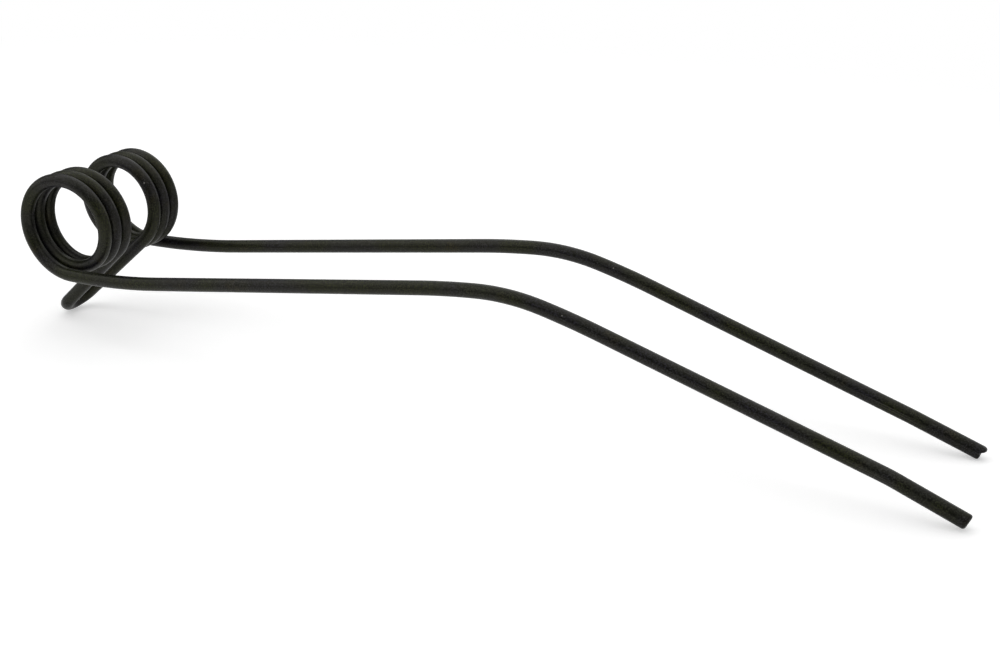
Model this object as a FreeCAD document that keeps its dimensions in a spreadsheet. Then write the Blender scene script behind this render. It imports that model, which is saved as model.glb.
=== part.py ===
"""Hay rake tine: one spring-steel wire formed into two coils, a hairpin loop and two legs.

Millimetres, +Z up. The wire's centreline is a chain of tangent pieces that is swept once.
The origin is on the coils' common axis, midway between them. The legs point along +X and
bend down, and the tine stands on its hairpin loop and its two toes.
"""
import FreeCAD, Part

import math
import os

from FreeCAD import Placement, Rotation, Vector

NODE = "rake_tine"

# Driving dimensions, in millimetres and degrees
DIMENSIONS = {
    "wire_diameter": 8.2,
    # the two coils
    "coil_mean_diameter": 56.0,
    "coil_pitch": 9.1,
    "coil_turns": 3.0,
    "coil_spacing": 26.8,
    # the hairpin loop that joins them
    "hairpin_angle": 33.3,
    "hairpin_straight": 61.9,
    # both legs; each coil opens out before its wire leaves it
    "opening_angle": 62.5,
    "opening_radius": 33.1,
    "lead_out_angle": 8.6,
    "lead_out_radius": 440.0,
    "upper_leg_length": 177.2,
    "shoulder_angle": 4.2,
    "shoulder_radius": 470.0,
    "bend_radius": 127.4,
    "lower_leg_length": 154.2,
    "toe_radius": 96.0,
    # bends and toes that came out a little different from leg to leg
    "right_bend_angle": 17.6,
    "left_bend_angle": 18.5,
    "right_toe_angle": 4.2,
    "left_toe_angle": 1.4,
    "right_toe_length": 38.4,
    "left_toe_length": 40.6,
    # the sheared ends
    "right_shear_angle": 9.5,
    "left_shear_angle": 5.0,
    "left_lip_length": 2.2,
    "left_lip_height": 3.0,
    "end_rounding": 0.9,
}

# The right coil is wound right-handed and the left one mirrors it
HAND = {"right": 1, "left": -1}

# Faces of the bent wire span this share of a coil's turn and one of this many arcs of the section
TURN_SHARE = 0.25
SECTION_ARCS = 3

X_AXIS = "1; 0; 0"
Y_AXIS = "0; 1; 0"
Z_AXIS = "0; 0; 1"


def add_dimensions(doc):
    """Write the driving dimensions into a sheet, one aliased row each."""
    sheet = doc.addObject("Spreadsheet::Sheet", "Dimensions")
    for row, (alias, value) in enumerate(DIMENSIONS.items(), start=1):
        sheet.set(f"A{row}", alias)
        sheet.set(f"B{row}", str(value))
        sheet.setAlias(f"B{row}", alias)
    doc.recompute()


def size(alias):
    """Expression that reads one driving dimension."""
    return f"Dimensions.{alias}"


def add_derived(doc):
    """Add the values that follow from the driving dimensions."""
    derived = doc.addObject("App::VarSet", "Derived")
    lead_out, opening = size("lead_out_angle"), size("opening_angle")
    formulas = {
        # slope of the coiled wire against the plane of its coil
        "lead_angle": f"atan({size('coil_pitch')} / (pi * {size('coil_mean_diameter')}))",
        # slope at which each coil's wire starts to open out, against the leg
        "opening_slope": f"{lead_out} + {opening}",
        # turn of each coil, from its hairpin straight to where it opens out
        "coil_angle": f"360 * {size('coil_turns')} - {size('hairpin_angle')} - .opening_slope",
        "coil_height": f"{size('coil_pitch')} * .coil_angle / 360",
        # the lead-out arc runs from the end of the opening arc to the leg's direction
        "lead_out_turn": (
            f"acos(cos(.opening_slope) * cos(.lead_angle) * cos({opening})"
            f" + sin(.opening_slope) * sin({opening}))"
        ),
        "lead_out_roll": (
            "atan2(-sin(.lead_angle) * cos(.opening_slope);"
            f" sin(.opening_slope) * cos({opening})"
            f" - cos(.opening_slope) * cos(.lead_angle) * sin({opening}))"
        ),
        # the hairpin's end arc meets both straights, which close in with the coils' slope
        "hairpin_radius": (
            f"({size('coil_spacing')} / 2 - {size('hairpin_straight')} * sin(.lead_angle))"
            f" / cos(.lead_angle)"
        ),
    }
    for name, formula in formulas.items():
        derived.addProperty("App::PropertyFloat", name, "Wire route")
        derived.setExpression(name, formula)
        doc.recompute()


def move(x="0", y="0", z="0"):
    """Expression for a shift along the local axes."""
    return f"placement(vector({x}; {y}; {z}); rotation(vector({Z_AXIS}); 0))"


def turn(axis, angle):
    """Expression for a rotation about one local axis."""
    return f"placement(vector(0; 0; 0); rotation(vector({axis}); {angle}))"


def add_straight(doc, name, start, length):
    """Add a straight run from the frame `start` along its X, and return its end frame."""
    line = doc.addObject("Part::Line", name)
    line.Z2 = 0
    line.setExpression("X2", length)
    line.setExpression("Placement", start)
    return f"{name}.Placement * {move(length)}"


def add_bend(doc, name, start, radius, angle):
    """Add an arc from the frame `start` that turns from its X to its Y, and return its end frame."""
    arc = doc.addObject("Part::Circle", name)
    arc.Angle1 = 0
    arc.setExpression("Angle2", angle)
    arc.setExpression("Radius", radius)
    arc.setExpression("Placement", f"{start} * {move(y=radius)} * {turn(Z_AXIS, '-90')}")
    return f"{name}.Placement * {turn(Z_AXIS, angle)} * {move(radius)} * {turn(Z_AXIS, '90')}"


def along_coil(side, angle, height):
    """Frame on a coil's wire: X along the wire, Y towards the coil's axis."""
    hand = HAND[side]
    return (
        f"{side}_coil.Placement * {turn(Z_AXIS, f'{hand} * {angle}')}"
        f" * {move(size('coil_mean_diameter') + ' / 2', '0', height)}"
        f" * {turn(X_AXIS, f'{hand} * Derived.lead_angle')}"
        f" * {turn(Z_AXIS, 90 * hand)} * {turn(X_AXIS, 90 * (1 - hand))}"
    )


def add_coil(doc, side):
    """Add one coil's centreline, which runs outwards from its hairpin straight."""
    hand = HAND[side]
    coil = doc.addObject("Part::Helix", f"{side}_coil")
    coil.Style = "New style"
    coil.LocalCoord = "Right-handed" if hand > 0 else "Left-handed"
    coil.SegmentLength = TURN_SHARE
    coil.setExpression("Radius", f"{size('coil_mean_diameter')} / 2")
    coil.setExpression("Pitch", size("coil_pitch"))
    coil.setExpression("Height", "Derived.coil_height")
    coil.setExpression(
        "Placement",
        f"{move(y=f'{-hand} * ' + size('coil_spacing') + ' / 2')}"
        f" * {turn(X_AXIS, 90 * hand)}"
        f" * {turn(Z_AXIS, f'{hand} * (' + size('hairpin_angle') + ' - 90)')}",
    )


def add_hairpin_straight(doc, side):
    """Add the straight that leads from the hairpin's end arc into one coil."""
    length = size("hairpin_straight")
    start = f"{along_coil(side, '0', '0')} * {move(f'-{length}')}"
    add_straight(doc, f"{side}_hairpin_straight", start, length)


def add_hairpin_turn(doc):
    """Add the arc that closes the hairpin between its two straights."""
    arc = doc.addObject("Part::Circle", "hairpin_turn")
    reach = (
        f"{size('hairpin_straight')} * cos(Derived.lead_angle)"
        f" - Derived.hairpin_radius * sin(Derived.lead_angle)"
    )
    arc.Angle1 = 0
    arc.setExpression("Angle2", "180 - 2 * Derived.lead_angle")
    arc.setExpression("Radius", "Derived.hairpin_radius")
    arc.setExpression(
        "Placement",
        f"{turn(Y_AXIS, '180 - ' + size('hairpin_angle'))}"
        f" * {move(reach, '0', size('coil_mean_diameter') + ' / 2')}"
        f" * {turn(Z_AXIS, 'Derived.lead_angle - 90')}",
    )


def add_leg(doc, side):
    """Add one leg's centreline, from its coil to its toe."""
    hand = HAND[side]
    opening = along_coil(side, "Derived.coil_angle", "Derived.coil_height")
    opened = add_bend(
        doc, f"{side}_opening", opening, size("opening_radius"), size("opening_angle")
    )
    radius, angle = size("lead_out_radius"), "Derived.lead_out_turn"
    leaving = f"{opened} * {turn(X_AXIS, f'{hand} * Derived.lead_out_roll')}"
    add_bend(doc, f"{side}_lead_out", leaving, radius, angle)
    # from here on X runs along the leg and Y points down, the way the leg bends
    end = (
        f"placement({side}_lead_out.Placement"
        f" * vector({radius} * cos({angle}); {radius} * sin({angle}); 0);"
        f" rotation(0; 0; -90))"
    )
    end = add_straight(doc, f"{side}_upper_leg", end, size("upper_leg_length"))
    bends = (
        ("shoulder_in", "shoulder_radius", "shoulder_angle"),
        ("bend", "bend_radius", f"{side}_bend_angle"),
        ("shoulder_out", "shoulder_radius", "shoulder_angle"),
    )
    for part, bend_radius, bend_angle in bends:
        end = add_bend(doc, f"{side}_{part}", end, size(bend_radius), size(bend_angle))
    end = add_straight(doc, f"{side}_lower_leg", end, size("lower_leg_length"))
    end = add_bend(doc, f"{side}_toe_bend", end, size("toe_radius"), size(f"{side}_toe_angle"))
    # the toe is drawn one wire too long, so that the shear takes off a whole slice
    length = f"{size(f'{side}_toe_length')} + {size('wire_diameter')}"
    add_straight(doc, f"{side}_toe", end, length)


def add_section(doc):
    """Add the wire's round section at the end of the right toe, as equal arcs of one circle."""
    section = doc.addObject("Part::Compound", "wire_section")
    arcs = []
    for number in range(SECTION_ARCS):
        arc = doc.addObject("Part::Circle", f"section_arc_{number + 1}")
        arc.Angle1 = 360 / SECTION_ARCS * number
        arc.Angle2 = 360 / SECTION_ARCS * (number + 1)
        arc.setExpression("Radius", f"{size('wire_diameter')} / 2")
        arc.setExpression(
            "Placement", f"right_toe.Placement * {move('right_toe.X2')} * {turn(Y_AXIS, '90')}"
        )
        arcs.append(arc)
    section.Links = arcs
    return section


def add_swept_wire(doc):
    """Sweep the round section along the whole route, from the right toe to the left one."""
    parts = (
        "toe", "toe_bend", "lower_leg", "shoulder_out", "bend", "shoulder_in", "upper_leg",
        "lead_out", "opening", "coil", "hairpin_straight",
    )
    right = [doc.getObject(f"right_{part}") for part in parts]
    left = [doc.getObject(f"left_{part}") for part in reversed(parts)]
    route = doc.addObject("Part::Compound", "wire_route")
    route.Links = right + [doc.getObject("hairpin_turn")] + left
    section = add_section(doc)
    doc.recompute()
    wire = doc.addObject("Part::Sweep", "swept_wire")
    wire.Sections = [section]
    wire.Spine = (route, [f"Edge{number + 1}" for number in range(len(route.Shape.Edges))])
    wire.Solid = True
    return wire


def add_shear(doc, name, side, setback, top):
    """Add the block that a shear takes off one toe, `setback` short of the toe's length.

    It reaches down from the height `top`, measured from the wire's axis towards the ground.
    """
    block = doc.addObject("Part::Box", name)
    reach = f"2 * {size('wire_diameter')}"
    for edge in ("Length", "Width", "Height"):
        block.setExpression(edge, reach)
    block.setExpression(
        "Placement",
        f"{side}_toe.Placement * {move(size(f'{side}_toe_length') + ' - ' + setback)}"
        f" * {turn(Y_AXIS, size(f'{side}_shear_angle'))}"
        f" * {move('0', top, '-' + size('wire_diameter'))}",
    )
    return block


def add_cut_wire(doc, wire):
    """Shear both toes: the right one straight across, the left one with a lip left on top."""
    whole = f"-{size('wire_diameter')}"
    below_lip = f"{size('left_lip_height')} - {size('wire_diameter')} / 2"
    tools = doc.addObject("Part::MultiFuse", "shears")
    tools.Shapes = [
        add_shear(doc, "right_shear", "right", "0", whole),
        add_shear(doc, "left_shear", "left", "0", whole),
        add_shear(doc, "left_shear_below_lip", "left", size("left_lip_length"), below_lip),
    ]
    cut = doc.addObject("Part::Cut", "cut_wire")
    cut.Base = wire
    cut.Tool = tools
    return cut


def sheared_edges(shape):
    """Numbers of the edges round the sheared faces, the only flat faces that the wire has."""
    flat = [face for face in shape.Faces if isinstance(face.Surface, Part.Plane)]
    return [
        number
        for number, edge in enumerate(shape.Edges, start=1)
        if any(edge.isSame(other) for face in flat for other in face.Edges)
    ]


def standing_placement(doc):
    """Turn about the coils' axis that sets the hairpin's end and the toes on level ground."""
    hairpin = doc.getObject("hairpin_turn")
    half_wire = DIMENSIONS["wire_diameter"] / 2
    rounding = DIMENSIONS["end_rounding"]
    apex = hairpin.Shape.valueAt(math.radians(hairpin.Angle2.Value / 2))
    tilts = []
    for side in HAND:
        # centre of the rounding at the toe's lower edge
        toe = doc.getObject(f"{side}_toe")
        corner = Vector(DIMENSIONS[f"{side}_toe_length"] - rounding, half_wire - rounding, 0)
        reach = apex - toe.Placement.multVec(corner)
        span = math.hypot(reach.x, reach.z)
        tilts.append(math.atan2(reach.x, reach.z) + math.acos((half_wire - rounding) / span))
    return Placement(Vector(), Rotation(Vector(0, 1, 0), -math.degrees(min(tilts))))


def build():
    """Build the tine in a new document and return it."""
    doc = FreeCAD.newDocument("HayRakeTine")
    add_dimensions(doc)
    add_derived(doc)
    add_hairpin_turn(doc)
    for side in HAND:
        add_coil(doc, side)
        add_hairpin_straight(doc, side)
        add_leg(doc, side)
    cut = add_cut_wire(doc, add_swept_wire(doc))
    doc.recompute()
    tine = doc.addObject("Part::Fillet", NODE)
    tine.Label = NODE
    tine.Base = cut
    radius = DIMENSIONS["end_rounding"]
    tine.Edges = [(number, radius, radius) for number in sheared_edges(cut.Shape)]
    tine.Placement = standing_placement(doc)
    doc.recompute()
    return doc


def check(doc):
    """Stop if any object failed, or if the tine isn't one sound solid."""
    failed = [item.Name for item in doc.Objects if {"Invalid", "Error"} & set(item.State)]
    if failed:
        raise RuntimeError(f"failed objects: {failed}")
    shape = doc.getObject(NODE).Shape
    if shape.isNull() or not shape.isValid() or len(shape.Solids) != 1:
        raise RuntimeError(f"{NODE} is not one valid solid")


def main():
    """Build, check and write the tine."""
    doc = build()
    check(doc)
    os.makedirs("parts", exist_ok=True)
    doc.getObject(NODE).Shape.exportStep(f"parts/{NODE}.step")


main()
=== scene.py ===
"""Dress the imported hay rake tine: one spring wire in satin black paint, stood on a pale floor.

The wire is walked again along the solid's own route, with finer rings than the solid has, so that
the paint's marks can follow it: drawing lines run lengthwise, the coils stay smooth and the toes
show how they were sheared. Lengths are in metres and angles in degrees, in the part's own frame.
"""

import logging
import math
from dataclasses import dataclass, field
from enum import Enum

import bpy
import numpy as np
from mathutils import Euler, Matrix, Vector, noise

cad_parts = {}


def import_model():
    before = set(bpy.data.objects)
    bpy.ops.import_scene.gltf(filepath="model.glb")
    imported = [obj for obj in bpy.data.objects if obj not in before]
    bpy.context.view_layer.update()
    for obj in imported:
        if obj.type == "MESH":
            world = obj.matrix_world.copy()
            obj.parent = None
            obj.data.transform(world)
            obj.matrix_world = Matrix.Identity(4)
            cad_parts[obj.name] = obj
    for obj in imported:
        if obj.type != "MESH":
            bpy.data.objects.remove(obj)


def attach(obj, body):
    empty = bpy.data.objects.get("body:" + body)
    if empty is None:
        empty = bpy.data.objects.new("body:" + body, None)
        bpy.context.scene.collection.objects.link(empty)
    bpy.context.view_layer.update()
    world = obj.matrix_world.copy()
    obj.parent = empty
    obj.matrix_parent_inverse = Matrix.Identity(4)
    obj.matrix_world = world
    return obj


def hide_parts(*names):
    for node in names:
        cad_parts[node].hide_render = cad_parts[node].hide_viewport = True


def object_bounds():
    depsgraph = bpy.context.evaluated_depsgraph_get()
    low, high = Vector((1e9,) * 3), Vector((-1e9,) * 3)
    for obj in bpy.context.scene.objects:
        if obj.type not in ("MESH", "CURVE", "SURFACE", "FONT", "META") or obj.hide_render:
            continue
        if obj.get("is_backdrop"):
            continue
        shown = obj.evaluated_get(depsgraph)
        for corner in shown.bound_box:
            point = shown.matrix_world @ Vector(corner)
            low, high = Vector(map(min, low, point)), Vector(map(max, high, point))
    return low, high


log = logging.getLogger("hay_rake_tine")

MM = 0.001
UP = np.array([0.0, 0.0, 1.0])
ACROSS = np.array([0.0, 1.0, 0.0])
WHITE = (1.0, 1.0, 1.0, 1.0)
QUARTER_TURN = 90.0


class Side(Enum):
    """The two legs, by the sign of the side of the part that they lie on."""

    RIGHT = -1
    LEFT = 1


class ToeEnd(Enum):
    """How the shear left the end of a leg."""

    SQUARE = "square"
    LIPPED = "lipped"


@dataclass(frozen=True)
class WireSizes:
    """Sizes that both halves of the wire share."""

    wire_radius: float = 4.1 * MM
    coil_radius: float = 28.0 * MM
    coil_pitch: float = 9.1 * MM
    coil_turns: float = 3.0
    coil_spacing: float = 26.8 * MM
    hairpin_angle: float = 33.3
    hairpin_straight: float = 61.9 * MM
    opening_angle: float = 62.5
    opening_radius: float = 33.1 * MM
    lead_out_angle: float = 8.6
    lead_out_radius: float = 440.0 * MM
    upper_leg: float = 177.2 * MM
    shoulder_angle: float = 4.2
    shoulder_radius: float = 470.0 * MM
    bend_radius: float = 127.4 * MM
    lower_leg: float = 154.2 * MM
    toe_radius: float = 96.0 * MM
    end_rounding: float = 0.9 * MM

    @property
    def lead_angle(self) -> float:
        """Slope of the coiled wire against the plane of its coil, in radians."""
        return math.atan(self.coil_pitch / (2.0 * math.pi * self.coil_radius))

    @property
    def coil_sweep(self) -> float:
        """Turn of one coil from its hairpin straight to where it opens out, in radians."""
        opening = self.lead_out_angle + self.opening_angle
        return math.radians(360.0 * self.coil_turns - self.hairpin_angle - opening)


@dataclass(frozen=True)
class LegSizes:
    """Sizes of one leg that differ from the other leg's."""

    side: Side
    bend_angle: float
    toe_angle: float
    toe_length: float
    shear_angle: float
    end: ToeEnd


@dataclass
class WireWalk:
    """A walk along the wire's axis that leaves a station, a point and a heading, every step.

    Steps are no longer than the stride on a straight, and the arc's stride or turn on an arc.
    """

    point: np.ndarray
    heading: np.ndarray
    stride: float = 2.0 * MM
    arc_stride: float = 4.0 * MM
    turn_stride: float = 2.5
    points: list[np.ndarray] = field(default_factory=list)
    headings: list[np.ndarray] = field(default_factory=list)

    def __post_init__(self) -> None:
        """Leave the first station where the walk starts."""
        self.mark(self.point, self.heading)

    def mark(self, point: np.ndarray, heading: np.ndarray) -> None:
        """Leave a station and stand on it."""
        self.point = point
        self.heading = heading / np.linalg.norm(heading)
        self.points.append(self.point)
        self.headings.append(self.heading)

    def straight(self, length: float) -> None:
        """Walk straight ahead."""
        start = self.point
        count = max(1, math.ceil(length / self.stride))
        for number in range(1, count + 1):
            self.mark(start + self.heading * (length * number / count), self.heading)

    def arc(self, radius: float, angle: float, inward: np.ndarray) -> None:
        """Walk an arc.

        Args:
            radius: Radius of the arc.
            angle: Turn of the arc, in radians.
            inward: Unit vector from the walker to the arc's centre, square to the heading.
        """
        ahead = self.heading
        centre = self.point + inward * radius
        by_length = radius * angle / self.arc_stride
        by_turn = math.degrees(angle) / self.turn_stride
        count = max(2, math.ceil(max(by_length, by_turn)))
        for number in range(1, count + 1):
            turned = angle * number / count
            out = ahead * math.sin(turned) - inward * math.cos(turned)
            self.mark(centre + out * radius, ahead * math.cos(turned) + inward * math.sin(turned))

    def bend_to(self, radius: float, heading: np.ndarray) -> None:
        """Walk the arc of the given radius that ends on the given heading."""
        cosine = float(np.clip(self.heading @ heading, -1.0, 1.0))
        inward = heading - self.heading * cosine
        self.arc(radius, math.acos(cosine), inward / np.linalg.norm(inward))


@dataclass
class WireRoute:
    """The axis of the whole wire, from the right toe round both coils to the left toe."""

    sizes: WireSizes
    legs: dict[Side, LegSizes]

    def half(self, leg: LegSizes) -> WireWalk:
        """Walk one half of the wire, from the middle of the hairpin's end arc to the toe.

        Args:
            leg: Sizes of the leg on that side.

        Returns:
            The walk, with all its stations.
        """
        sizes, hand = self.sizes, float(leg.side.value)
        slope, radius = sizes.lead_angle, sizes.coil_radius
        start_angle = math.radians(sizes.hairpin_angle - QUARTER_TURN)
        spoke = np.array([math.cos(start_angle), 0.0, math.sin(start_angle)])
        along = np.array([-math.sin(start_angle), 0.0, math.cos(start_angle)])
        into_coil = along * math.cos(slope) + ACROSS * (hand * math.sin(slope))
        root = spoke * radius + ACROSS * (hand * sizes.coil_spacing / 2.0)
        arc_end = root - into_coil * sizes.hairpin_straight
        arc_radius = abs(arc_end[1]) / math.cos(slope)
        drop = along * (arc_radius * (1.0 - math.sin(slope)))
        middle = arc_end * np.array([1.0, 0.0, 1.0]) - drop
        walk = WireWalk(middle, ACROSS * hand)
        walk.arc(arc_radius, math.pi / 2.0 - slope, along)
        walk.straight(sizes.hairpin_straight)
        self.wind(walk, start_angle, hand)
        self.run_leg(walk, leg)
        return walk

    def wind(self, walk: WireWalk, start_angle: float, hand: float) -> None:
        """Walk one coil as a true helix about the part's Y axis."""
        sizes, sweep = self.sizes, self.sizes.coil_sweep
        slope, radius = sizes.lead_angle, sizes.coil_radius
        count = math.ceil(math.degrees(sweep) / walk.turn_stride)
        for number in range(1, count + 1):
            turned = sweep * number / count
            angle = start_angle + turned
            offset = sizes.coil_spacing / 2.0 + sizes.coil_pitch * turned / (2.0 * math.pi)
            point = np.array([radius * math.cos(angle), hand * offset, radius * math.sin(angle)])
            along = np.array([-math.sin(angle), 0.0, math.cos(angle)])
            walk.mark(point, along * math.cos(slope) + ACROSS * (hand * math.sin(slope)))

    def run_leg(self, walk: WireWalk, leg: LegSizes) -> None:
        """Walk one leg from its coil to its toe."""
        sizes = self.sizes
        slope = math.radians(sizes.lead_out_angle + sizes.opening_angle)
        inward = np.array([math.sin(slope), 0.0, math.cos(slope)])
        walk.arc(sizes.opening_radius, math.radians(sizes.opening_angle), inward)
        walk.bend_to(sizes.lead_out_radius, np.array([1.0, 0.0, 0.0]))
        walk.straight(sizes.upper_leg)
        bends = (
            (sizes.shoulder_radius, sizes.shoulder_angle),
            (sizes.bend_radius, leg.bend_angle),
            (sizes.shoulder_radius, sizes.shoulder_angle),
        )
        for radius, angle in bends:
            walk.arc(radius, math.radians(angle), np.cross(ACROSS, walk.heading))
        walk.straight(sizes.lower_leg)
        walk.arc(sizes.toe_radius, math.radians(leg.toe_angle), np.cross(ACROSS, walk.heading))
        walk.straight(leg.toe_length)

    def tilt(self, walk: WireWalk) -> float:
        """Turn about the coils' axis that levels the hairpin's end with one toe, in radians.

        As in the solid, the toe stands on the rounding of its lower edge.
        """
        rounding = self.sizes.end_rounding
        above = self.sizes.wire_radius - rounding
        edge = walk.point - walk.heading * rounding + np.cross(ACROSS, walk.heading) * above
        reach = walk.points[0] - edge
        span = math.hypot(reach[0], reach[2])
        return math.atan2(reach[0], reach[2]) + math.acos(above / span)

    def stations(self) -> tuple[np.ndarray, np.ndarray]:
        """Join both halves and stand them by the lesser of the two toes' turns.

        Returns:
            The points and the headings along the wire, from the right toe to the left toe.
        """
        right, left = (self.half(self.legs[side]) for side in (Side.RIGHT, Side.LEFT))
        points = np.array(right.points[::-1] + left.points[1:])
        headings = np.array([-heading for heading in right.headings[::-1]] + left.headings[1:])
        angle = -min(self.tilt(right), self.tilt(left))
        stand = np.array(
            [
                [math.cos(angle), 0.0, math.sin(angle)],
                [0.0, 1.0, 0.0],
                [-math.sin(angle), 0.0, math.cos(angle)],
            ]
        )
        return points @ stand.T, headings @ stand.T


@dataclass(frozen=True)
class ShearedEnd:
    """The sheared face that closes one toe, and the rounded edge that the paint leaves on it.

    The lip's heights and reach are in millimetres, from the wire's lower edge to its upper one.
    The edge's lead is where the plain rings before the rounding stand, and the face's rings are
    shares of the flat face's radius.
    """

    leg: LegSizes
    square_rounding: float = 1.5 * MM
    lip_rounding: float = 0.7 * MM
    lip_heights: tuple[float, ...] = (
        -4.1, -3.5, -2.5, 0.7, 1.3, 1.7, 2.2, 2.8, 3.2, 3.5, 3.8, 4.1,
    )
    lip_reach: tuple[float, ...] = (
        -2.8, -2.2, -1.9, -1.8, -1.3, -0.5, -0.12, 0.0, -0.4, -0.9, -1.7, -2.9,
    )
    lip_narrowing: float = 0.09 / MM
    tear: float = 0.12 * MM
    tear_size: float = 1.4 * MM
    finer_tear: float = 2.3
    finer_tear_share: float = 0.5
    edge_lead: tuple[float, ...] = (1.2 * MM, 0.4 * MM)
    edge_steps: int = 8
    face_rings: tuple[float, ...] = (0.86, 0.7, 0.54, 0.38, 0.22, 0.1)

    @property
    def rounding(self) -> float:
        """Radius of the edge round the end."""
        return self.lip_rounding if self.leg.end is ToeEnd.LIPPED else self.square_rounding

    def reach(self, side: np.ndarray, height: np.ndarray) -> np.ndarray:
        """How far the end reaches past the toe's nominal length.

        Args:
            side: Places across the wire, along the part's Y axis.
            height: Places above the wire's axis.

        Returns:
            The reach at each place.
        """
        reach = math.tan(math.radians(self.leg.shear_angle)) * side
        if self.leg.end is ToeEnd.LIPPED:
            reach = reach + np.interp(height / MM, self.lip_heights, self.lip_reach) * MM
            reach = reach - self.lip_narrowing * side**2 * np.clip(height / MM, 0.0, 1.0)
        return reach

    def torn(self, side: float, height: float) -> float:
        """Unevenness of the torn metal at one place on the face."""
        place = Vector((side, height, self.leg.shear_angle * MM)) / self.tear_size
        finer = self.finer_tear_share * noise.noise(place * self.finer_tear)
        return self.tear * (noise.noise(place) + finer)

    def rings(self, radius: float) -> list[tuple[float, float, float]]:
        """Rings from the wire's side to the middle of the face.

        Args:
            radius: Radius of the wire.

        Returns:
            For each ring its radius, how far it stands back from the face, and its tearing.
        """
        made = [(radius, self.rounding + lead, 0.0) for lead in self.edge_lead]
        for number in range(self.edge_steps + 1):
            angle = math.radians(QUARTER_TURN * number / self.edge_steps)
            inset = self.rounding * (1.0 - math.cos(angle))
            back = self.rounding * (1.0 - math.sin(angle))
            made.append((radius - inset, back, number / self.edge_steps))
        flat = radius - self.rounding
        made += [(flat * share, 0.0, 1.0) for share in self.face_rings]
        return made


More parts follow.
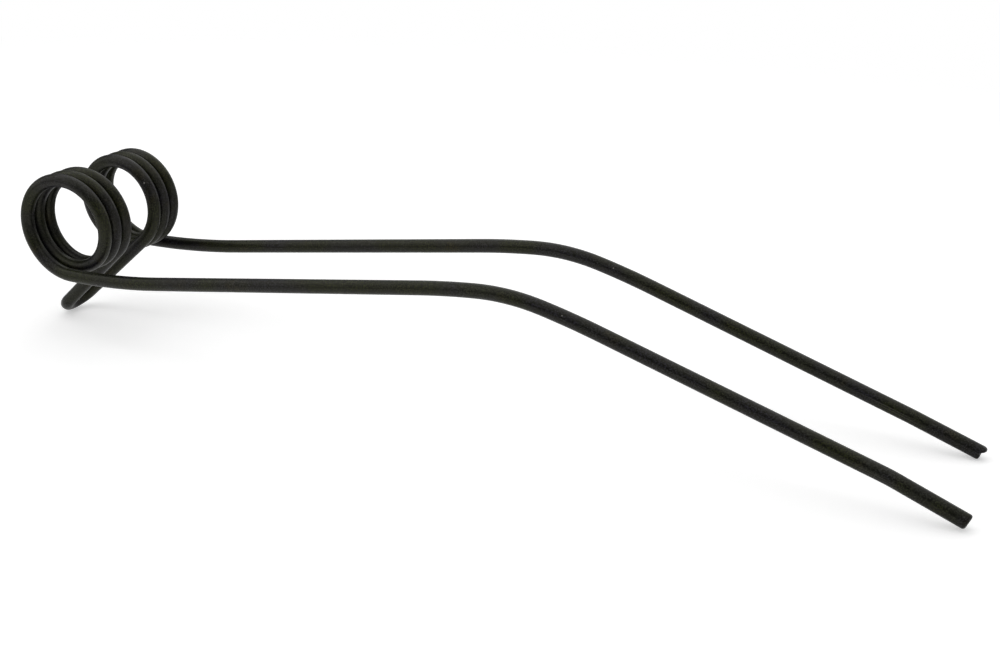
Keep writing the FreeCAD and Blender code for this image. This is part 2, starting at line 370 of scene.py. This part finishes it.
@dataclass
class PaintedWire:
    """The painted spring wire, as one closed mesh of rings along its route.

    The toes' own rings make a short share of wire at each end, and each cap takes a narrow strip
    of the unrolled layout.
    """

    route: WireRoute
    segments: int = 48
    toe_share: float = 6.0 * MM
    cap_strip: float = 2.0 * MM
    layout_scale: float = 2.0
    turned_enough: float = 1e-18
    name: str = "painted_wire"
    points: list[np.ndarray] = field(default_factory=list)
    places: list[np.ndarray] = field(default_factory=list)

    def frames(self, headings: np.ndarray, points: np.ndarray) -> np.ndarray:
        """Carry a direction square to the wire along it without twist.

        Args:
            headings: Unit vectors along the wire.
            points: Points on its axis.

        Returns:
            One unit vector square to the wire for each point.
        """
        first = UP - headings[0] * (UP @ headings[0])
        carried = [first / np.linalg.norm(first)]
        for number in range(len(points) - 1):
            step = points[number + 1] - points[number]
            normal = carried[-1] - step * (2.0 * (step @ carried[-1]) / (step @ step))
            ahead = headings[number] - step * (2.0 * (step @ headings[number]) / (step @ step))
            gap = headings[number + 1] - ahead
            size = gap @ gap
            if size > self.turned_enough:
                normal = normal - gap * (2.0 * (gap @ normal) / size)
            carried.append(normal / np.linalg.norm(normal))
        return np.array(carried)

    def ring(self, offsets: np.ndarray, centre: np.ndarray, sides: tuple[np.ndarray, np.ndarray],
             along: float) -> None:
        """Add one ring of points.

        Args:
            offsets: Places of the ring's points against the wire's axis, two numbers each.
            centre: Centre of the ring, or one centre for each of its points.
            sides: The two unit vectors square to the wire that the places are measured along.
            along: Length of wire up to the ring.
        """
        self.points.append(centre + offsets[:, :1] * sides[0] + offsets[:, 1:] * sides[1])
        self.places.append(np.column_stack([offsets, np.full(len(offsets), along)]))

    def toe_rings(self, leg: LegSizes, axis: np.ndarray, centre: np.ndarray,
                  sides: tuple[np.ndarray, np.ndarray], along: float, outward: float) -> None:
        """Add the rings that round off and close one toe.

        Args:
            leg: Sizes of that leg.
            axis: Unit vector out of the toe.
            centre: Middle of the toe's nominal end.
            sides: The two unit vectors square to the wire.
            along: Length of wire up to the toe's end.
            outward: 1 where the length grows out of the toe and -1 where it shrinks.
        """
        end, radius = ShearedEnd(leg), self.route.sizes.wire_radius
        rise = UP - axis * (UP @ axis)
        rise = rise / np.linalg.norm(rise)
        rows = []
        for ring_radius, back, torn_share in end.rings(radius):
            offsets = self.circle(ring_radius)
            flat = offsets[:, :1] * sides[0] + offsets[:, 1:] * sides[1]
            side, height = flat @ ACROSS, flat @ rise
            torn = np.array([end.torn(a, b) for a, b in zip(side, height)]) * torn_share
            reach = end.reach(side, height) - back + torn
            length = along + outward * float(reach.mean())
            rows.append((offsets, centre + axis * reach[:, None], length))
        if outward < 0.0:
            rows.reverse()
        for offsets, centres, length in rows:
            self.ring(offsets, centres, sides, length)

    def circle(self, radius: float) -> np.ndarray:
        """Places round a circle about the wire's axis."""
        angles = np.linspace(0.0, 2.0 * math.pi, self.segments, endpoint=False)
        return np.column_stack([np.cos(angles), np.sin(angles)]) * radius

    def build(self) -> bpy.types.Object:
        """Build the wire's mesh.

        Returns:
            The wire's object, smooth all over, with its own coordinates along the wire.
        """
        points, headings = self.route.stations()
        normals = self.frames(headings, points)
        along = np.concatenate([[0.0], np.cumsum(np.linalg.norm(np.diff(points, axis=0), axis=1))])
        sides = [(normal, np.cross(heading, normal)) for normal, heading in zip(normals, headings)]
        body = self.circle(self.route.sizes.wire_radius)
        first, last = self.toe_share, along[-1] - self.toe_share
        keep = [number for number in range(len(points)) if first < along[number] < last]
        legs = self.route.legs
        self.toe_rings(legs[Side.RIGHT], -headings[0], points[0], sides[0], 0.0, -1.0)
        for number in keep:
            self.ring(body, points[number], sides[number], float(along[number]))
        self.toe_rings(legs[Side.LEFT], headings[-1], points[-1], sides[-1], float(along[-1]), 1.0)
        return self.mesh()

    def mesh(self) -> bpy.types.Object:
        """Join the rings into a closed mesh with its wire coordinates and its unrolled layout."""
        count, rings = self.segments, len(self.points)
        caps = [self.points[0].mean(axis=0), self.points[-1].mean(axis=0)]
        cap_places = [self.places[0].mean(axis=0), self.places[-1].mean(axis=0)]
        points = np.vstack(self.points + [np.array(caps)])
        places = np.vstack(self.places + [np.array(cap_places)])
        faces, layout = [], []
        girth = 2.0 * math.pi * self.route.sizes.wire_radius
        for ring in range(rings - 1):
            low, high = self.places[ring][0, 2], self.places[ring + 1][0, 2]
            for number in range(count):
                after = (number + 1) % count
                near, far = girth * number / count, girth * (number + 1) / count
                here, there = ring * count, (ring + 1) * count
                faces.append((here + number, here + after, there + after, there + number))
                layout.append(((low, near), (low, far), (high, far), (high, near)))
        last = (rings - 1) * count
        for number in range(count):
            after = (number + 1) % count
            near, far = girth * number / count, girth * (number + 1) / count
            low, high = self.places[0][0, 2], self.places[-1][0, 2]
            faces.append((after, number, rings * count))
            layout.append(((low, far), (low, near), (low - self.cap_strip, near)))
            faces.append((last + number, last + after, rings * count + 1))
            layout.append(((high, near), (high, far), (high + self.cap_strip, near)))
        mesh = bpy.data.meshes.new(self.name)
        mesh.from_pydata(points.tolist(), [], faces)
        mesh.polygons.foreach_set("use_smooth", np.ones(len(faces), dtype=bool))
        wire_place = mesh.attributes.new("wire_place", "FLOAT_VECTOR", "POINT")
        wire_place.data.foreach_set("vector", places.astype(np.float32).ravel())
        unrolled = mesh.uv_layers.new(name="unrolled")
        flat = np.array([corner for face in layout for corner in face], dtype=np.float32)
        unrolled.data.foreach_set("uv", (flat * self.layout_scale).ravel())
        mesh.validate()
        mesh.update()
        wire = bpy.data.objects.new(self.name, mesh)
        bpy.context.scene.collection.objects.link(wire)
        return wire


@dataclass(frozen=True)
class Cloud:
    """Cloudy variation on a finish.

    Its size is that of one feature in metres, and the spread says which range of its value goes
    smoothly onto which other range.
    """

    label: str
    size: float
    detail: float
    roughness: float
    spread: tuple[float, float, float, float] = (0.0, 1.0, 0.0, 1.0)


class PaintBench:
    """A material's node tree, with short ways to add to it."""

    MIX_FIRST, MIX_SECOND, MIX_COLOUR = 6, 7, 2

    def __init__(self, name: str) -> None:
        """Start an empty material of that name."""
        self.material = bpy.data.materials.new(name)
        self.material.use_nodes = True
        self.tree = self.material.node_tree
        self.tree.nodes.clear()

    def add(self, kind: str, label: str, **sockets: object) -> bpy.types.Node:
        """Add a node.

        Args:
            kind: Blender's name for the node.
            label: What the node does on this finish.
            sockets: Inputs by name, with spaces as underscores, or by number, as i0 and i1. Each
                is a value, or a socket to join.

        Returns:
            The node.
        """
        node = self.tree.nodes.new(kind)
        node.label = label
        for name, value in sockets.items():
            numbered = name[0] == "i" and name[1:].isdigit()
            key = int(name[1:]) if numbered else name.replace("_", " ")
            self.put(node.inputs[key], value)
        return node

    def put(self, socket: bpy.types.NodeSocket, value: object) -> None:
        """Set an input to a value, or join a socket to it."""
        if isinstance(value, bpy.types.NodeSocket):
            self.tree.links.new(value, socket)
        else:
            socket.default_value = value

    def maths(self, operation: str, first: object, second: object = 0.0,
              clamp: bool = False) -> bpy.types.NodeSocket:
        """Add one sum, product or other operation, and return its result."""
        node = self.add("ShaderNodeMath", operation.lower(), i0=first, i1=second)
        node.operation = operation
        node.use_clamp = clamp
        return node.outputs[0]

    def remap(self, value: bpy.types.NodeSocket, low: float, high: float, to_low: float,
              to_high: float) -> bpy.types.NodeSocket:
        """Map one range smoothly onto another, and return the result."""
        node = self.add("ShaderNodeMapRange", "range", i0=value, i1=low, i2=high, i3=to_low,
                        i4=to_high)
        node.interpolation_type = "SMOOTHSTEP"
        return node.outputs[0]

    def tint(self, share: object, first: object, second: object) -> bpy.types.NodeSocket:
        """Mix two colours, and return the mix."""
        node = self.tree.nodes.new("ShaderNodeMix")
        node.data_type = "RGBA"
        self.put(node.inputs[0], share)
        self.put(node.inputs[self.MIX_FIRST], first)
        self.put(node.inputs[self.MIX_SECOND], second)
        return node.outputs[self.MIX_COLOUR]

    def shade(self, colour: object, share: object) -> bpy.types.NodeSocket:
        """Make a colour darker or lighter, and return the result."""
        node = self.add("ShaderNodeVectorMath", "shade", i0=colour)
        node.operation = "SCALE"
        self.put(node.inputs["Scale"], share)
        return node.outputs[0]

    def cloud(self, cloud: Cloud, place: bpy.types.NodeSocket) -> bpy.types.NodeSocket:
        """Add cloudy noise, and return its value."""
        node = self.add("ShaderNodeTexNoise", cloud.label, Vector=place, Scale=1.0 / cloud.size,
                        Detail=cloud.detail, Roughness=cloud.roughness)
        return node.outputs[0]


@dataclass(frozen=True)
class NickAndGlint:
    """A small knock in the paint, a painted glint, or a fine scuff along it where its length is
    given.

    It lies that far along the wire from the right toe, and that many degrees round it.
    """

    along: float
    turn: float
    size: float
    length: float = 0.0
    bare_and_glint_strength: float = 1.0


@dataclass(frozen=True)
class SatinBlackPaint:
    """Satin black paint over drawn spring wire, with its grain, dust nibs, knock marks and painted
    glints.

    The first two spots are knock marks, one in each leg's bend. The third, in the left coil, and
    the fourth, at the hairpin's end, are painted highlights: metal-coloured spots that stand for
    glints.
    The others are fine scuffs near the toes.
    """

    wire_radius: float
    colour: tuple[float, float, float, float] = (0.0091, 0.0103, 0.0038, 1.0)
    grey: tuple[float, float, float, float] = (0.0087, 0.0081, 0.0108, 1.0)
    ochre: tuple[float, float, float, float] = (0.0142, 0.0118, 0.0038, 1.0)
    bare_metal_and_glint: tuple[float, float, float, float] = (0.19, 0.183, 0.17, 1.0)
    nib: tuple[float, float, float, float] = (0.02, 0.02, 0.018, 1.0)
    ior: float = 1.5
    specular: float = 0.26
    specular_tint: tuple[float, float, float, float] = (1.0, 0.99, 0.80, 1.0)
    grey_patches: Cloud = Cloud("grey patches", 48.0 * MM, 3.0, 0.5, (0.43, 0.57, 0.0, 1.0))
    ochre_patches: Cloud = Cloud("ochre patches", 16.0 * MM, 2.0, 0.6, (0.55, 0.75, 0.0, 0.7))
    speckle: Cloud = Cloud("speckle", 0.8 * MM, 2.0, 0.7, (0.43, 0.63, 0.0, 3.1))
    gloss_patches: Cloud = Cloud("patches of gloss", 7.0 * MM, 4.0, 0.65, (0.25, 0.75, 0.25, 0.37))
    speckle_gloss: tuple[float, float, float, float] = (0.39, 0.61, 0.035, -0.035)
    grain: Cloud = Cloud("orange peel", 1.1 * MM, 2.0, 0.55)
    grain_depth: float = 0.10 * MM
    fine_grain: Cloud = Cloud("fine grain", 0.45 * MM, 1.0, 0.5)
    fine_grain_depth: float = 0.040 * MM
    lines: Cloud = Cloud("drawing lines", 0.34 * MM, 1.0, 0.4)
    line_length: float = 38.0 * MM
    line_depth: float = 0.030 * MM
    nib_spacing: float = 9.0 * MM
    nib_size: float = 0.30 * MM
    nib_core: float = 0.3
    nibless_cells: float = 0.45
    nib_paleness: float = 0.35
    nib_height: float = 0.07 * MM
    knock_height: float = -0.02 * MM
    knock_and_glint_core: float = 0.5
    wire_middle: float = 1142.0 * MM
    greyer_from: float = 840.0 * MM
    greyer_beyond: float = 930.0 * MM
    greyness: tuple[float, float] = (-0.008, 0.017)
    nicks_and_glints: tuple[NickAndGlint, ...] = (
        NickAndGlint(2062.0 * MM, 55.7, 0.55 * MM, bare_and_glint_strength=0.8),
        NickAndGlint(221.4 * MM, -57.7, 0.5 * MM, bare_and_glint_strength=0.8),
        # Painted highlights: the next two spots stand for glints, in the left coil and at the
        # hairpin's end.
        NickAndGlint(1261.0 * MM, 169.1, 0.7 * MM, bare_and_glint_strength=1.0),
        NickAndGlint(1145.8 * MM, 161.0, 0.7 * MM, bare_and_glint_strength=0.9),
        NickAndGlint(2228.0 * MM, 80.0, 0.30 * MM, 20.0 * MM, 0.17),
        NickAndGlint(2236.0 * MM, 98.0, 0.30 * MM, 16.0 * MM, 0.17),
        NickAndGlint(52.0 * MM, -94.0, 0.30 * MM, 18.0 * MM, 0.15),
        NickAndGlint(47.0 * MM, -110.0, 0.30 * MM, 16.0 * MM, 0.15),
    )

    def material(self) -> bpy.types.Material:
        """Make the paint as one material."""
        bench = PaintBench("satin_black_paint")
        place = bench.add("ShaderNodeAttribute", "place along the wire")
        place.attribute_name = "wire_place"
        where = place.outputs["Vector"]
        nibs = self.dust_nibs(bench, where)
        chips_and_glints = self.knocks_and_glints(bench, where)
        clouds = bench.cloud(self.grey_patches, where)
        clouds = bench.maths("ADD", clouds, self.greyer_toes(bench, where))
        greyness = bench.remap(clouds, *self.grey_patches.spread)
        colour = bench.tint(greyness, self.colour, self.grey)
        warm = bench.cloud(self.ochre_patches, where)
        colour = bench.tint(bench.remap(warm, *self.ochre_patches.spread), colour, self.ochre)
        speckle = bench.cloud(self.speckle, where)
        colour = bench.shade(colour, bench.remap(speckle, *self.speckle.spread))
        colour = bench.tint(bench.maths("MULTIPLY", nibs, self.nib_paleness), colour, self.nib)
        # Metal colour where the paint is knocked off, and painted highlights where the glint spots
        # lie.
        colour = bench.tint(chips_and_glints, colour, self.bare_metal_and_glint)
        patches = bench.cloud(self.gloss_patches, where)
        rough = bench.remap(patches, *self.gloss_patches.spread)
        rough = bench.maths("ADD", rough, bench.remap(speckle, *self.speckle_gloss))
        shader = bench.add("ShaderNodeBsdfPrincipled", "paint", Base_Color=colour, Roughness=rough)
        shader.inputs["IOR"].default_value = self.ior
        shader.inputs["Specular IOR Level"].default_value = self.specular
        shader.inputs["Specular Tint"].default_value = self.specular_tint
        bench.put(shader.inputs["Normal"], self.relief(bench, where, nibs, chips_and_glints))
        out = bench.add("ShaderNodeOutputMaterial", "surface")
        bench.put(out.inputs["Surface"], shader.outputs["BSDF"])
        return bench.material

    def greyer_toes(self, bench: PaintBench, where: bpy.types.NodeSocket) -> bpy.types.NodeSocket:
        """How much greyer the paint is on the lower legs than on the rest of the wire."""
        parts = bench.add("ShaderNodeSeparateXYZ", "length along the wire", Vector=where)
        away = bench.maths("SUBTRACT", parts.outputs["Z"], self.wire_middle)
        away = bench.maths("ABSOLUTE", away)
        return bench.remap(away, self.greyer_from, self.greyer_beyond, *self.greyness)

    def relief(self, bench: PaintBench, where: bpy.types.NodeSocket, nibs: bpy.types.NodeSocket,
               chips_and_glints: bpy.types.NodeSocket | float) -> bpy.types.NodeSocket:
        """Relief of the paint, in metres: grain, drawing lines, nibs, and dents under knock marks
        and painted glints.

        Args:
            bench: The material's bench.
            where: Places along the wire.
            nibs: Mask of the dust nibs.
            chips_and_glints: Mask of the knock marks and of the painted glints.

        Returns:
            The surface's normal.
        """
        grain = bench.cloud(self.grain, where)
        fine = bench.cloud(self.fine_grain, where)
        stretch = bench.add("ShaderNodeVectorMath", "lengthwise", i0=where,
                            i1=(1.0, 1.0, self.lines.size / self.line_length))
        stretch.operation = "MULTIPLY"
        lines = bench.cloud(self.lines, stretch.outputs[0])
        height = bench.maths("MULTIPLY", grain, self.grain_depth)
        layers = (
            (fine, self.fine_grain_depth),
            (lines, self.line_depth),
            (nibs, self.nib_height),
            (chips_and_glints, self.knock_height),
        )
        for value, depth in layers:
            height = bench.maths("ADD", height, bench.maths("MULTIPLY", value, depth))
        bump = bench.add("ShaderNodeBump", "relief", Height=height, Strength=1.0, Distance=1.0)
        return bump.outputs["Normal"]

    def dust_nibs(self, bench: PaintBench, where: bpy.types.NodeSocket) -> bpy.types.NodeSocket:
        """Mask of the few specks of dust that dried into the paint."""
        cells = bench.add("ShaderNodeTexVoronoi", "specks", Vector=where,
                          Scale=1.0 / self.nib_spacing)
        edge = self.nib_size / self.nib_spacing
        near = bench.remap(cells.outputs["Distance"], edge * self.nib_core, edge, 1.0, 0.0)
        split = bench.add("ShaderNodeSeparateColor", "chance", Color=cells.outputs["Color"])
        chosen = bench.maths("GREATER_THAN", split.outputs[0], self.nibless_cells)
        return bench.maths("MULTIPLY", near, chosen)

    def knocks_and_glints(self, bench: PaintBench,
               where: bpy.types.NodeSocket) -> bpy.types.NodeSocket | float:
        """Mask of the small knock marks and of the painted glints, each at its own place on the
        wire.
        """
        mask: bpy.types.NodeSocket | float = 0.0
        radius = self.wire_radius
        for nick_and_glint in self.nicks_and_glints:
            angle = math.radians(nick_and_glint.turn)
            squeeze = nick_and_glint.size / max(nick_and_glint.size, nick_and_glint.length)
            spot = (radius * math.cos(angle), radius * math.sin(angle), nick_and_glint.along * squeeze)
            flat = bench.add("ShaderNodeVectorMath", "squeeze", i0=where, i1=(1.0, 1.0, squeeze))
            flat.operation = "MULTIPLY"
            gap = bench.add("ShaderNodeVectorMath", "gap to knock and glint", i0=flat.outputs[0], i1=spot)
            gap.operation = "DISTANCE"
            core = nick_and_glint.size * self.knock_and_glint_core
            near = bench.remap(gap.outputs["Value"], core, nick_and_glint.size, nick_and_glint.bare_and_glint_strength, 0.0)
            mask = bench.maths("MAXIMUM", mask, near)
        return mask


@dataclass(frozen=True)
class PaleFloor:
    """The matt, near-white floor that the tine stands on, with a pool of light painted into its
    colour.
    """

    colour: tuple[float, float, float] = (0.86, 0.86, 0.86)
    lift: float = 0.42
    pool_centre: tuple[float, float, float] = (0.15, -0.40, 0.0)
    pool_inner: float = 0.25
    pool_outer: float = 0.85
    pool_heart: float = 0.84
    pool_rim: float = 0.34
    white_from: float = 0.9
    white_beyond: float = 1.5

    def material(self) -> bpy.types.Material:
        """Make the floor's material, with painted light: in reflections it is lightest in a wide
        pool round the tine and dimmer beyond.
        """
        bench = PaintBench("pale_floor")
        rays = bench.add("ShaderNodeLightPath", "who looks")
        glossy = rays.outputs["Is Glossy Ray"]
        spot = bench.add("ShaderNodeTexCoord", "place on the floor")
        gap = bench.add("ShaderNodeVectorMath", "from the pool's middle",
                        i0=spot.outputs["Object"], i1=self.pool_centre)
        gap.operation = "DISTANCE"
        # Painted pool of light: for reflections the floor's colour and lift are dimmed, least near
        # the pool's middle and most beyond its rim.
        pool = bench.remap(gap.outputs["Value"], self.pool_inner, self.pool_outer, self.pool_heart,
                           self.pool_rim)
        painted_dimming = bench.maths("MULTIPLY", glossy, bench.maths("SUBTRACT", 1.0, pool))
        share = bench.maths("SUBTRACT", 1.0, painted_dimming)
        matt = bench.add("ShaderNodeBsdfDiffuse", "matt", Color=bench.shade(self.colour, share))
        seen = bench.maths("ADD", rays.outputs["Is Camera Ray"], glossy, clamp=True)
        seen = bench.maths("ADD", seen, rays.outputs["Is Transmission Ray"], clamp=True)
        seen = bench.maths("MULTIPLY", seen, share)
        glow = bench.add("ShaderNodeEmission", "lift", Color=WHITE)
        bench.put(glow.inputs["Strength"], bench.maths("MULTIPLY", seen, self.lift))
        both = bench.add("ShaderNodeAddShader", "matt and lift", i0=matt.outputs[0],
                         i1=glow.outputs[0])
        far = bench.remap(gap.outputs["Value"], self.white_from, self.white_beyond, 0.0, 1.0)
        far = bench.maths("MULTIPLY", far, rays.outputs["Is Camera Ray"])
        white = bench.add("ShaderNodeEmission", "white ground", Color=WHITE, Strength=1.0)
        ground = bench.add("ShaderNodeMixShader", "near and far", i0=far, i1=both.outputs[0],
                           i2=white.outputs[0])
        out = bench.add("ShaderNodeOutputMaterial", "surface")
        bench.put(out.inputs["Surface"], ground.outputs[0])
        return bench.material


@dataclass(frozen=True)
class Softbox:
    """A large, even studio lamp that faces one point, and how bright its face is."""

    name: str
    place: tuple[float, float, float]
    size: tuple[float, float]
    radiance: float
    facing: tuple[float, float, float] = (0.25, 0.0, 0.0)

    def hang(self) -> None:
        """Hang the lamp in the scene."""
        lamp = bpy.data.lights.new(self.name, "AREA")
        lamp.shape = "RECTANGLE"
        lamp.size, lamp.size_y = self.size
        lamp.energy = self.radiance * math.pi * self.size[0] * self.size[1]
        holder = bpy.data.objects.new(self.name, lamp)
        holder.location = self.place
        aim = Vector(self.facing) - Vector(self.place)
        holder.rotation_euler = aim.to_track_quat("-Z", "Y").to_euler()
        bpy.context.scene.collection.objects.link(holder)


@dataclass
class Studio:
    """The plain studio: floor, lamps, the light of the room and the camera."""

    ground: float
    floor_reach: float = 12.0
    room_light: float = 0.16
    lamps: tuple[Softbox, ...] = (
        Softbox("overhead_softbox", (-0.2, 1.5, 2.2), (4.2, 4.6), 0.92, (-0.2, 1.5, 0.0)),
        Softbox("front_softbox", (0.3, -1.9, 2.2), (3.6, 2.2), 0.42, (0.3, -1.9, 0.0)),
        Softbox("back_softbox", (0.2, 3.8, 1.0), (5.0, 2.0), 0.7, (0.2, 0.0, 0.3)),
        Softbox("left_softbox", (-1.44, -1.15, 1.2), (2.6, 2.4), 0.80, (0.2, 0.0, 0.4)),
        Softbox("right_softbox", (3.2, 0.1, 1.0), (4.4, 2.0), 0.55, (0.0, 0.0, 0.1)),
    )
    camera_place: tuple[float, float, float] = (0.564395, -0.639039, 0.250131)
    camera_turn: tuple[float, float, float] = (67.9071, -0.8197, 24.4983)
    camera_lens: float = 47.983
    sensor_width: float = 36.0
    camera_sight: tuple[float, float] = (0.05, 60.0)

    def build(self) -> None:
        """Build the whole studio."""
        self.lay_floor()
        for lamp in self.lamps:
            lamp.hang()
        self.light_room()
        self.set_camera()
        bpy.context.scene.view_settings.view_transform = "Standard"

    def lay_floor(self) -> None:
        """Lay the floor under the tine."""
        reach, ground = self.floor_reach, self.ground
        outline = [(-reach, -reach), (reach, -reach), (reach, reach), (-reach, reach)]
        mesh = bpy.data.meshes.new("floor")
        mesh.from_pydata([(x, y, ground) for x, y in outline], [], [(0, 1, 2, 3)])
        mesh.materials.append(PaleFloor().material())
        floor = bpy.data.objects.new("floor", mesh)
        bpy.context.scene.collection.objects.link(floor)
        floor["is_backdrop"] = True

    def light_room(self) -> None:
        """Fill the room with even light and show it white to the camera."""
        world = bpy.data.worlds.new("room")
        bpy.context.scene.world = world
        world.use_nodes = True
        nodes, links = world.node_tree.nodes, world.node_tree.links
        nodes.clear()
        rays = nodes.new("ShaderNodeLightPath")
        strength = nodes.new("ShaderNodeMapRange")
        links.new(rays.outputs["Is Camera Ray"], strength.inputs["Value"])
        strength.inputs["To Min"].default_value = self.room_light
        strength.inputs["To Max"].default_value = 1.0
        light = nodes.new("ShaderNodeBackground")
        light.inputs["Color"].default_value = WHITE
        links.new(strength.outputs[0], light.inputs["Strength"])
        out = nodes.new("ShaderNodeOutputWorld")
        links.new(light.outputs[0], out.inputs["Surface"])

    def set_camera(self) -> None:
        """Set the camera where the tine is seen from its right front, from a little above."""
        camera = bpy.data.cameras.new("camera")
        camera.lens = self.camera_lens
        camera.sensor_width = self.sensor_width
        camera.clip_start, camera.clip_end = self.camera_sight
        holder = bpy.data.objects.new("camera", camera)
        holder.location = self.camera_place
        holder.rotation_euler = Euler([math.radians(angle) for angle in self.camera_turn])
        bpy.context.scene.collection.objects.link(holder)
        bpy.context.scene.camera = holder


@dataclass
class RakeTine:
    """The hay rake tine: its route, its painted wire and its paint."""

    node: str = "rake_tine"
    slot: str = "black_paint"
    sizes: WireSizes = WireSizes()
    right_leg: LegSizes = LegSizes(
        Side.RIGHT, bend_angle=17.6, toe_angle=4.2, toe_length=38.4 * MM, shear_angle=9.5,
        end=ToeEnd.SQUARE,
    )
    left_leg: LegSizes = LegSizes(
        Side.LEFT, bend_angle=18.5, toe_angle=1.4, toe_length=40.6 * MM, shear_angle=5.0,
        end=ToeEnd.LIPPED,
    )

    def build(self) -> bpy.types.Object:
        """Build the wire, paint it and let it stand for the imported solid.

        Returns:
            The painted wire.
        """
        legs = {leg.side: leg for leg in (self.right_leg, self.left_leg)}
        wire = PaintedWire(WireRoute(self.sizes, legs)).build()
        wire.data.materials.append(SatinBlackPaint(self.sizes.wire_radius).material())
        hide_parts(self.node)
        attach(wire, "root")
        return wire


def main() -> None:
    """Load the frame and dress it."""
    logging.basicConfig(level=logging.INFO, format="%(name)s: %(message)s")
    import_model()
    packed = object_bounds()
    studio = Studio(ground=packed[0].z)
    studio.build()
    log.info("studio: floor at %.5f m, %d lamps", studio.ground, len(studio.lamps))
    wire = RakeTine().build()
    log.info("%s: %d faces", wire.name, len(wire.data.polygons))


if __name__ == "__main__":
    main()
